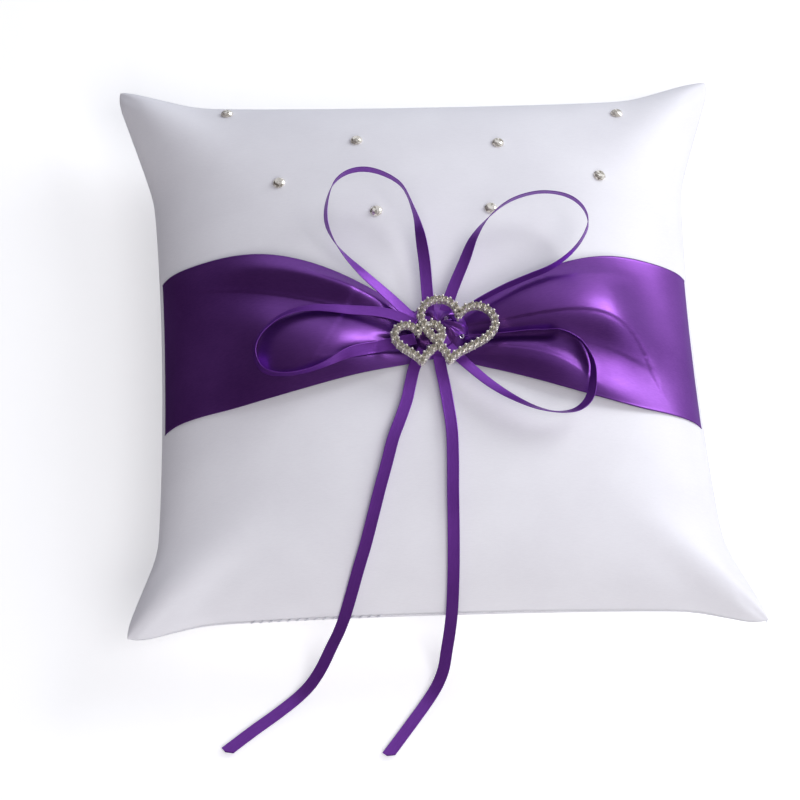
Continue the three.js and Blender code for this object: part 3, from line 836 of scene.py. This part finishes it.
def ribbon_strip(line, turn, slant=0.0, steps=220):
    """Points, faces and UV of a flat ribbon carried along a line, whose face looks up where its
    turn is 0. The section is a long lozenge with a thicker woven edge on each side, and the far end
    may be cut on a slant."""
    side = np.array([-1, -0.96, -0.86, -0.5, 0, 0.5, 0.86, 0.96, 1])
    rise = np.array([0.4, 1, 0.62, 0.55, 0.55, 0.55, 0.62, 1, 0.4])
    ring_x = np.concatenate([side, side[::-1]]) * RIBBON_WIDTH / 2
    ring_z = np.concatenate([rise, -rise[::-1]]) * RIBBON_THICK / 2
    count = len(line)
    share = np.linspace(0, 1, steps)[:, None]
    length = run_along(line)[-1]
    where = np.clip(share + ring_x[None] / RIBBON_WIDTH * slant * share ** 8 / length, 0, 1) * (count - 1)
    tangent = unit(np.gradient(line, axis=0))
    level = unit(np.cross(tangent, [0, 0, 1.0]))
    face = np.cross(level, tangent)
    cos, sin = np.cos(turn)[:, None], np.sin(turn)[:, None]
    wide, up = level * cos + face * sin, face * cos - level * sin

    def sample(field):
        return placed_along(field, np.arange(count), where)

    points = sample(line) + sample(wide) * ring_x[None, :, None] + sample(up) * ring_z[None, :, None]
    sides = len(ring_x)
    ladder = np.arange(len(side) - 1)
    cap = np.stack([ladder, ladder + 1, sides - 2 - ladder, sides - 1 - ladder], axis=-1)
    faces = np.concatenate([tube_quads(steps, sides)[:, ::-1], cap, cap[:, ::-1] + (steps - 1) * sides])
    uv = np.stack([np.broadcast_to(share * length, points.shape[:2]),
                   np.broadcast_to(ring_x[None] + RIBBON_WIDTH / 2, points.shape[:2])], axis=-1)
    return points.reshape(-1, 3), faces, uv.reshape(-1, 2)


ribbon_satin = satin_material("ribbon_satin", (0.19, 0.045, 0.36, 1), (0.27, 0.07, 0.50, 1), 0.32, 7000.0,
                              metallic=0.65, weave=0.15, coat=0.15)

LOOPS = {
    "bow_loop_upper_left": ([
        (-3, -5.3, 52.7), (-3.2, 3, 54), (-3.5, 11, 55.2), (-4.6, 20.5, 57), (-6, 27, 58), (-9.2, 34.2, 60),
        (-14.3, 37.7, 61), (-20.2, 39.2, 61.5), (-25.4, 38.2, 61.5), (-29.2, 35.3, 61), (-31.6, 29.7, 60),
        (-32.2, 23.4, 59), (-30.6, 18, 58), (-27.2, 13, 56.5), (-21.5, 7, 54.8), (-14.4, 0.5, 52.9),
        (-6.4, -8, 51.6),
    ], (0, 4, 20, 90, 103, 96, 100, 108, 66, 22, 16, 8)),
    "bow_loop_upper_right": ([
        (1.4, -6.2, 51.6), (4.4, 2, 52.8), (8.4, 11, 54.2), (11.8, 18.6, 55.6), (16.5, 24.5, 57),
        (23.3, 29.3, 58.5), (32.4, 31.3, 59.5), (40.4, 29.7, 59.5), (44.6, 26, 59), (45.9, 21.5, 58),
        (44.1, 17, 57), (40.3, 12.4, 56), (34, 8, 55), (19.8, 2.2, 54), (10, -3, 53.2), (3.6, -7.8, 52.7),
    ], (0, 5, 25, 76, 76, 70, 80, 92, 90, 88, 90, 90)),
    "bow_loop_lower_left": ([
        (-7, -9.1, 52.7), (-12, -6.5, 53.1), (-17.6, -5, 53.4), (-28.5, -4, 53.5), (-39.3, -3.4, 53.1),
        (-46.7, -5.6, 52.5), (-52.7, -10.7, 52), (-54.6, -16.2, 51.6), (-52.5, -22, 51.5),
        (-47.3, -24.4, 51.6), (-41.5, -24.6, 51.9), (-34.4, -23, 52.2), (-25.6, -18.9, 52.2),
        (-16.6, -15.4, 51.9), (-7.2, -13.2, 51.6),
    ], (0, -5, -10, -28, -50, -64, -88, -104, -95, -48, -12, 0)),
    "bow_loop_lower_right": ([
        (2, -16.5, 52.7), (7, -22.6, 53), (13.8, -29.6, 53.2), (20.8, -34.7, 53.2), (27.8, -38, 52.9),
        (33.6, -39, 52.6), (38.7, -38, 52.4), (42.2, -34.5, 52.2), (43.9, -28.2, 52.2), (44, -22, 52.2),
        (41.5, -16.6, 52.2), (36.5, -13.8, 51.6), (29.5, -12.5, 51), (20, -12.2, 51), (4.3, -12.4, 51.2),
    ], (0, 15, 25, 45, 63, 36, 60, 108, 117, 117, 117, 117)),
}
TAILS = {
    "tail_left": [
        (-4.9, -16.6, 51.6), (-6.6, -19.2, 51.2), (-8.2, -22.6, 50.2), (-9.4, -27, 49.6),
        (-10.8, -32.5, 49.5), (-13.2, -39, 49.4), (-15.2, -44, 49), (-17.6, -52, 47.6), (-19.8, -59, 46),
        (-22.2, -67, 43.4), (-24.4, -74, 40.4), (-26.8, -80.5, 36.4), (-28.8, -85.8, 31.4),
        (-30.4, -89.2, 25.5), (-32, -91.4, 19), (-34.4, -94, 12), (-37.2, -97.8, 6.4), (-40.2, -101.2, 3),
        (-43.6, -104.2, 1.4), (-50, -109.2, 1), (-57.4, -114.5, 1), (-65.9, -120.9, 1),
    ],
    "tail_right": [
        (-0.9, -17.6, 51.6), (-0.6, -20, 51.1), (-0.2, -23, 50.2), (0.5, -27.4, 49.7), (1.1, -33, 49.6),
        (1.8, -42, 49.5), (1.7, -51, 48.1), (1.3, -60, 46.1), (1.1, -69, 42.9), (0.9, -77.6, 38.6),
        (0.7, -84, 33.4), (0.6, -88, 27.6), (0.5, -90, 22), (0.2, -92.2, 15.6), (-0.4, -95, 9.6),
        (-1.2, -98.6, 5), (-2.8, -102, 2.5), (-5.3, -105.8, 1.3), (-11.5, -114.1, 1), (-18.9, -123.7, 1),
    ],
}



def lay_ribbon(name, points, rolls, slant=0.0):
    """A loop or a tail: routed, twisted and raised clear of what it lies on."""
    line = route(points)
    turn = turns_along(rolls, len(line))
    line = laid_over(line, turn)
    ribbon = mesh_object(name + "_ribbon", *ribbon_strip(line, turn, slant))
    finish_piece(ribbon, ribbon_satin, "purple_satin", name)


for name, (points, rolls) in LOOPS.items():
    lay_ribbon(name, points, rolls)
for name, points in TAILS.items():
    lay_ribbon(name, points, (0, 0), TAIL_SLANT)


# ---- bow knot -------------------------------------------------------------------------------------
# The same narrow ribbon wound over the sash's waist and over the roots of the loops and tails, one
# turn straight across and one on the slant, round a pad of the bunched roots.
knot_low, knot_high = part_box("bow_knot")
KNOT_CENTRE = np.array([(knot_low.x + knot_high.x) / 2, (knot_low.y + knot_high.y) / 2, knot_low.z])
KNOT_RADIUS = (knot_high.x - knot_low.x) / 2
KNOT_RISE = knot_high.z - knot_low.z
WRAPS = [(88, 0.2, 1.4), (122, 0.45, 1.2)]
WRAP_TUCK = 6 * MM
PAD_SHIFT = np.array([1.2, 2.6]) * MM
PAD_REACH = np.array([9.6, 9.2]) * MM
PAD_RISE = 4.3 * MM
PAD_SINK = 4 * MM
PAD_RINGS, PAD_TURNS = 33, 121


def knot_wrap(degrees, extra, reach):
    """One turn of ribbon over the knot: half an ellipse that stands in the plane at that bearing."""
    angle = np.linspace(-0.06, 1.06, 81) * np.pi
    out = -np.cos(angle) * KNOT_RADIUS * reach
    rise = np.sin(angle) * (KNOT_RISE + extra * MM) + np.minimum(np.sin(angle), 0) * WRAP_TUCK
    bearing = np.radians(degrees)
    line = KNOT_CENTRE + np.stack([out * np.cos(bearing), out * np.sin(bearing), rise], axis=-1)
    return ribbon_strip(line, np.zeros(len(line)), steps=60)


def root_pad():
    """The bunched roots and the sash's gathers: a low dome, cos of the distance from its middle,
    creased by seven folds that run out from it."""
    ring, turn = np.meshgrid(
        np.linspace(0, 1, PAD_RINGS), np.linspace(0, 2 * np.pi, PAD_TURNS), indexing="ij")
    crease = 1 + 0.1 * np.sin(ring * np.pi) * np.sin(7 * turn + 1.8 * np.sin(2 * turn) + 2 * ring)
    x = PAD_SHIFT[0] + ring * np.cos(turn) * PAD_REACH[0]
    y = PAD_SHIFT[1] + ring * np.sin(turn) * PAD_REACH[1]
    z = np.cos(ring * np.pi / 2) ** 0.5 * (KNOT_RISE + PAD_RISE) * crease - PAD_SINK
    points = KNOT_CENTRE + np.stack([x, y, z], axis=-1)
    uv = np.stack([ring * KNOT_RADIUS, turn * KNOT_RADIUS], axis=-1)
    return points.reshape(-1, 3), grid_quads(PAD_RINGS, PAD_TURNS)[:, ::-1], uv.reshape(-1, 2)


wraps = mesh_object("knot_wraps", *joined([knot_wrap(*wrap) for wrap in WRAPS]))
finish_piece(wraps, ribbon_satin, "purple_satin", "bow_knot")
roots = mesh_object("knot_roots", *root_pad())
merge_doubles(roots)
finish_piece(roots, purple_satin, "purple_satin")

gather_thread = bpy.data.objects["sash_gather_thread"]
purple_thread = thread_material("purple_thread", (0.10, 0.03, 0.18, 1), (0.22, 0.07, 0.38, 1))
gather_thread.data.materials.clear()
gather_thread.data.materials.append(purple_thread)


# ---- double-heart brooch ----------------------------------------------------------------------------
# Two linked hearts of cup chain in rhodium-plated alloy: a flat rail that follows each heart, and on
# it a row of cups, each holding a foiled glass chaton under four claws. It is glued to the knot.
rail_low, rail_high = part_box("double_heart_setting")
stone_low, stone_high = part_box("large_heart_stones")
LARGE_HEART = {"tip": (1.9 * MM, -23.3 * MM), "scale": 0.69 * MM, "tilt": -0.23, "stones": 35}
SMALL_HEART = {"tip": (-6.1 * MM, -23.4 * MM), "scale": 0.44 * MM, "tilt": 0.07, "stones": 23}
RAIL_HALF = 1.0 * MM
RAIL_STEPS = 240
CHATON_RADIUS = 0.86 * MM
CLAW_RADIUS = 0.42 * MM
CLAW_OUT = 0.92 * MM
CLAW_OVER_CUP = 0.45 * MM
# Painted light on the stones' tables: chaton tables painted darker (painted shade), flat stones' tables
# painted brighter (painted highlight).
CHATON_TABLE_PAINTED_SHADE, FLAT_TABLE_PAINTED_HIGHLIGHT = 0.3, 1.2
LEVEL = 0.97
CUPS_APART = 1.75 * MM
CLAWS_APART = 1.6 * MM


def at_height(places, height):
    """Flat places (k, 2) at a height."""
    return np.concatenate([places, np.full((len(places), 1), height)], axis=1)


def heart_line(heart, count, offset=0.5):
    """Places and outward directions spaced evenly round a heart: x is 16 sin^3 t, y is 13 cos t -
    5 cos 2t - 2 cos 3t - cos 4t + 17, scaled, tilted and set on its tip."""
    tip, scale, tilt = heart["tip"], heart["scale"], heart["tilt"]
    t = np.linspace(0, 2 * np.pi, 1441)
    x = 16 * np.sin(t) ** 3
    y = 13 * np.cos(t) - 5 * np.cos(2 * t) - 2 * np.cos(3 * t) - np.cos(4 * t) + 17
    cos, sin = np.cos(tilt), np.sin(tilt)
    line = np.stack([tip[0] + scale * (x * cos - y * sin), tip[1] + scale * (x * sin + y * cos)], axis=-1)
    run = run_along(line)
    place = placed_along(line, run, (np.arange(count) + offset) * run[-1] / count)
    ahead = unit(np.roll(place, -1, axis=0) - np.roll(place, 1, axis=0))
    return place, np.stack([-ahead[:, 1], ahead[:, 0]], axis=-1)


def heart_rail(heart, low, high):
    """The rail under a heart's cups: a flat bar with rounded edges, as a closed loop of its section."""
    place, out = heart_line(heart, RAIL_STEPS)
    across = np.array([-1, -0.85, 0.85, 1, 1, 0.85, -0.85, -1]) * RAIL_HALF
    rise = np.array([0.2, 0, 0, 0.2, 0.8, 1, 1, 0.8]) * (high - low) + low
    points = np.concatenate([
        place[:, None] + out[:, None] * across[None, :, None],
        np.broadcast_to(rise[None, :, None], (RAIL_STEPS, 8, 1)),
    ], axis=-1)
    at = np.arange(RAIL_STEPS * 8).reshape(RAIL_STEPS, 8)
    ahead = np.roll(at, -1, axis=0)
    quads = np.stack([at, np.roll(at, -1, axis=1), np.roll(ahead, -1, axis=1), ahead], axis=-1)
    return points.reshape(-1, 3), quads.reshape(-1, 4)


def turned(profile, sides):
    """A shape turned about z from (radius, height) pairs, the first and last of them on the axis."""
    profile = np.asarray(profile, float)
    turn = np.arange(sides) * 2 * np.pi / sides
    rings = np.stack([
        profile[:, :1] * np.cos(turn), profile[:, :1] * np.sin(turn),
        np.broadcast_to(profile[:, 1:], (len(profile), sides)),
    ], axis=-1)
    return rings.reshape(-1, 3), tube_quads(len(profile), sides)


def chaton(radius, height, sides=8):
    """A cut stone as triangles: a low girdle, a ring of kites turned half a step, a flat table."""
    step = np.pi / sides
    levels = [(0.90, 0.0, 0), (1.0, 0.16, 0), (1.0, 0.30, 0), (0.84, 0.70, 1), (0.60, 1.0, 0)]
    rings = []
    for out, rise, half in levels:
        turn = (2 * np.arange(sides) + half) * step
        rings.append(np.stack([out * radius * np.cos(turn), out * radius * np.sin(turn),
                               np.full(sides, rise * height)], axis=-1))
    points = np.concatenate(rings + [[(0, 0, 0), (0, 0, height)]])
    faces = []
    for k in range(len(levels) - 1):
        low, high = k * sides + np.arange(sides), (k + 1) * sides + np.arange(sides)
        if levels[k + 1][2] == 1:
            faces += [np.stack([low, np.roll(low, -1), high], axis=-1),
                      np.stack([np.roll(low, -1), np.roll(high, -1), high], axis=-1)]
        else:
            faces += [np.stack([low, np.roll(low, -1), np.roll(high, -1)], axis=-1),
                      np.stack([low, np.roll(high, -1), high], axis=-1)]
    bottom, top = np.arange(sides), (len(levels) - 1) * sides + np.arange(sides)
    faces.append(np.stack([np.roll(bottom, -1), bottom, np.full(sides, len(levels) * sides)], axis=-1))
    faces.append(np.stack([top, np.roll(top, -1), np.full(sides, len(levels) * sides + 1)], axis=-1))
    return points, np.concatenate(faces)


def cut_stones(name, shape, places, frames, seed, table):
    """Flat-faced stones with a random painted sparkle on each face, a painted brightness from 0.35 to 1
    for the light each face would reflect, times `table` on the tables, kept as a face attribute."""
    piece = mesh_object(name, *copies(shape, places, frames), smooth=False)
    count = len(piece.data.polygons)
    normals = np.empty(count * 3, np.float32)
    piece.data.polygons.foreach_get("normal", normals)
    tables = normals.reshape(-1, 3)[:, 2] > LEVEL
    # A random painted highlight or painted shade for each face, standing for its reflection of the foil.
    values = np.random.default_rng(seed).uniform(0.35, 1.0, count)
    # The tables get their painted shade or painted highlight.
    values[tables] *= table
    sparkle = piece.data.attributes.new("painted_sparkle", "FLOAT", "FACE")
    sparkle.data.foreach_set("value", values.astype(np.float32))
    return piece


def silver_material():
    """Bright rhodium plate, a little warm, with faint tarnish in its hollows and fine rub marks."""
    material, make, paint = new_material("rhodium_plate")
    tarnish = noise(make, 420.0, 4.0)
    paint({
        "Base Color": mixed(make, tarnish, (0.74, 0.69, 0.60, 1), (0.97, 0.92, 0.83, 1)),
        "Roughness": mapped(make, tarnish, 0.3, 0.7, 0.30, 0.16),
        "Normal": bumped(make, tarnish, 0.15, 0.00005),
        "Metallic": 0.7,
    })
    return material


def crystal_material():
    """Foiled glass under a hard gloss, with painted reflections: each face painted dark to bright champagne.
    """
    material, make, paint = new_material("foiled_crystal")
    # The painted sparkle picks each face's colour between a painted dark reflection and a painted bright one.
    painted_sparkle = make("ShaderNodeAttribute", attribute_name="painted_sparkle").outputs["Fac"]
    spread = mapped(make, painted_sparkle, 0.25, 0.8, 0.0, 1.0, "SMOOTHSTEP")
    paint({
        "Base Color": mixed(make, spread, (0.24, 0.205, 0.14, 1), (1.0, 0.94, 0.82, 1)),
        "Roughness": mapped(make, painted_sparkle, 0.0, 1.0, 0.05, 0.14),
        "Metallic": 0.6,
        "Coat Weight": 1.0,
        "Coat Roughness": 0.03,
    })
    return material


def apart(places, others, distance):
    """Which places lie further than that from all the others."""
    return np.linalg.norm(places[:, None] - others[None], axis=-1).min(axis=1) > distance


def upright_frames(out):
    """Frames that stand upright with their x along each outward direction."""
    level = at_height(out, 0.0)
    return frames_from(level, np.broadcast_to([0, 0, 1.0], level.shape))


silver = silver_material()
crystal = crystal_material()
rail_top = rail_low.z + 0.45 * (rail_high.z - rail_low.z)
cup_height = stone_low.z - rail_top + 0.25 * MM
cup_shape = turned([
    (0, 0), (CHATON_RADIUS * 1.02, 0), (CHATON_RADIUS * 1.14, cup_height), (CHATON_RADIUS, cup_height),
    (CHATON_RADIUS * 0.9, cup_height * 0.5), (0, cup_height * 0.5)], 12)
claw_height = cup_height + CLAW_OVER_CUP
claw_shape = turned([(0, 0), (CLAW_RADIUS, 0), (CLAW_RADIUS, claw_height * 0.8),
                     (CLAW_RADIUS * 0.75, claw_height * 0.95), (0, claw_height)], 8)
stone_shape = chaton(CHATON_RADIUS, stone_high.z - stone_low.z)
metal = [heart_rail(heart, rail_low.z, rail_top) for heart in (LARGE_HEART, SMALL_HEART)]
large_place, _ = heart_line(LARGE_HEART, LARGE_HEART["stones"])
CRYSTALS = {
    "large_heart_crystals": (LARGE_HEART, 31, ("large_heart_stones",)),
    "small_heart_crystals": (SMALL_HEART, 32, ("small_heart_stones_outer", "small_heart_stones_inner")),
}
for name, (heart, seed, nodes) in CRYSTALS.items():
    cups, cups_out = heart_line(heart, heart["stones"])
    claws, claws_out = heart_line(heart, heart["stones"], offset=0.0)
    if heart is SMALL_HEART:
        free = apart(cups, large_place, CUPS_APART)
        cups, cups_out = cups[free], cups_out[free]
        free = apart(claws, large_place, CLAWS_APART)
        claws, claws_out = claws[free], claws_out[free]
    metal.append(copies(cup_shape, at_height(cups, rail_top), upright_frames(cups_out)))
    for side in (1, -1):
        claw_place = at_height(claws + claws_out * side * CLAW_OUT, rail_top)
        metal.append(copies(claw_shape, claw_place, upright_frames(claws_out)))
    stones = cut_stones(name, stone_shape, at_height(cups, stone_low.z), upright_frames(cups_out), seed,
                        CHATON_TABLE_PAINTED_SHADE)
    finish_piece(stones, crystal, "crystal", *nodes)
hearts = mesh_object("linked_hearts", *joined(metal), smooth=False)
merge_doubles(hearts)
finish_piece(hearts, silver, "silver", "double_heart_setting")

# Clear glue, squeezed out between the knot and the rails in a few beads.
glue_low, glue_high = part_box("glue_pad")
GLUE_BEADS = [(6.2, -14.1, 0.75), (1.8, -7.8, 0.6), (-1.2, -13.0, 1.5), (-3.6, -17.6, 1.0)]
BEAD_RINGS, BEAD_SIDES = 13, 24


def glue_bead(x, y, radius):
    """A flattened ball with a slow wobble in its outline."""
    rise, turn = np.meshgrid(
        np.linspace(-np.pi / 2, np.pi / 2, BEAD_RINGS), np.arange(BEAD_SIDES) * 2 * np.pi / BEAD_SIDES,
        indexing="ij")
    wide = radius * MM * (1 + 0.13 * np.sin(3 * turn + x) + 0.08 * np.sin(5 * turn + y))
    tall = (glue_high.z - glue_low.z) / 2 * 0.9
    points = np.stack([
        x * MM + wide * np.cos(rise) * np.cos(turn), y * MM + wide * np.cos(rise) * np.sin(turn),
        (glue_low.z + glue_high.z) / 2 + tall * np.sin(rise)], axis=-1)
    return points.reshape(-1, 3), tube_quads(BEAD_RINGS, BEAD_SIDES)


glue = mesh_object("glue_beads", *joined([glue_bead(*bead) for bead in GLUE_BEADS]))
merge_doubles(glue)
clear_glue, make, paint = new_material("clear_glue")
paint({
    "Base Color": (0.95, 0.94, 0.98, 1),
    "Roughness": mapped(make, noise(make, 700.0, 3.0), 0.3, 0.7, 0.04, 0.16),
    "Transmission Weight": 1.0,
    "IOR": 1.46,
})
finish_piece(glue, clear_glue, "clear_glue", "glue_pad")


# ---- single stones ----------------------------------------------------------------------------------
# Eight flat-backed cut stones with foil behind them, glued straight to the cover in two rows.
STONE_SPOTS = [
    (-60, 78.6), (-20.8, 61.1), (22.6, 59), (61.8, 75), (-45, 45.8), (-16.4, 32.3), (18.2, 32.6), (53, 47.4),
]
FLAT_RADIUS = 1.95 * MM
FLAT_HEIGHT = 1.15 * MM
STONE_CLEAR = 0.1 * MM
spot_x, spot_y = np.array(STONE_SPOTS).T * MM
spot_u, spot_v = on_cloth(spot_x, spot_y)
spot_place = on_front(spot_u, spot_v, np.full(len(spot_x), STONE_CLEAR))
spot_normal = bilinear(front_normals, across_flat(spot_u), across_flat(spot_v))
for k in range(len(STONE_SPOTS)):
    spin = np.array([[np.cos(k * 1.3), np.sin(k * 1.3), 0.0]])
    upright = spot_normal[k:k + 1]
    sideways = spin - (spin * upright).sum(axis=1, keepdims=True) * upright / (upright ** 2).sum()
    stone = cut_stones(f"cloth_stone_{k + 1}", chaton(FLAT_RADIUS, FLAT_HEIGHT), spot_place[k:k + 1],
                       frames_from(sideways, upright), 50 + k, FLAT_TABLE_PAINTED_HIGHLIGHT)
    finish_piece(stone, crystal, "crystal", f"rhinestone_{k + 1}")


# ---- floor and light ------------------------------------------------------------------------------
# A pale floor under soft window light from the right, with the left side left in shade.
floor = mesh_object("floor", [(-3, -3, 0), (3, -3, 0), (3, 3, 0), (-3, 3, 0)], [(0, 1, 2, 3)])
floor.location.z = -0.0002
pale, _, paint = new_material("pale_floor")
paint({"Base Color": (0.88, 0.88, 0.88, 1), "Roughness": 0.8, "Emission Color": (1, 1, 1, 1),
       "Emission Strength": 0.32})
floor.data.materials.append(pale)
floor.visible_glossy = False


LIGHTS_AIM = np.array([0, 0, 30]) * MM


def window(name, place, size, power, colour):
    """A soft square light at a place, facing the pillow."""
    data = bpy.data.lights.new(name, "AREA")
    data.size = size
    data.energy = power
    data.color = colour
    lamp = bpy.data.objects.new(name, data)
    away = unit(np.array(place) - LIGHTS_AIM)
    side = unit(np.cross([0, 0, 1.0], away))
    stand(lamp, side, np.cross(away, side), away, place)
    return lamp


window("window_right", (0.70, 0.44, 0.54), 0.5, 4.0, (0.95, 0.97, 1.0))
fill = window("fill_front", (0.2, -0.75, 1.0), 0.9, 9.6, (1.0, 0.99, 1.0))
fill.visible_glossy = False

# The room: bright and cool on the window's side, dim and a little warm on the other.
room = bpy.data.worlds.new("room")
room.use_nodes = True
make = node_maker(room.node_tree)
direction = make("ShaderNodeTexCoord")
compass = make("ShaderNodeVectorMath", {0: direction.outputs["Generated"], 1: (0.85, 0.75, 0.1)},
               operation="DOT_PRODUCT")
daylight = mapped(make, compass.outputs["Value"], -0.25, 0.95, 0.0, 1.0, "SMOOTHSTEP")
set_inputs(room.node_tree, room.node_tree.nodes["Background"],
           {0: mixed(make, daylight, (0.066, 0.056, 0.075, 1), (0.64, 0.67, 0.75, 1))})
bpy.context.scene.world = room
bpy.context.scene.view_settings.view_transform = "Standard"
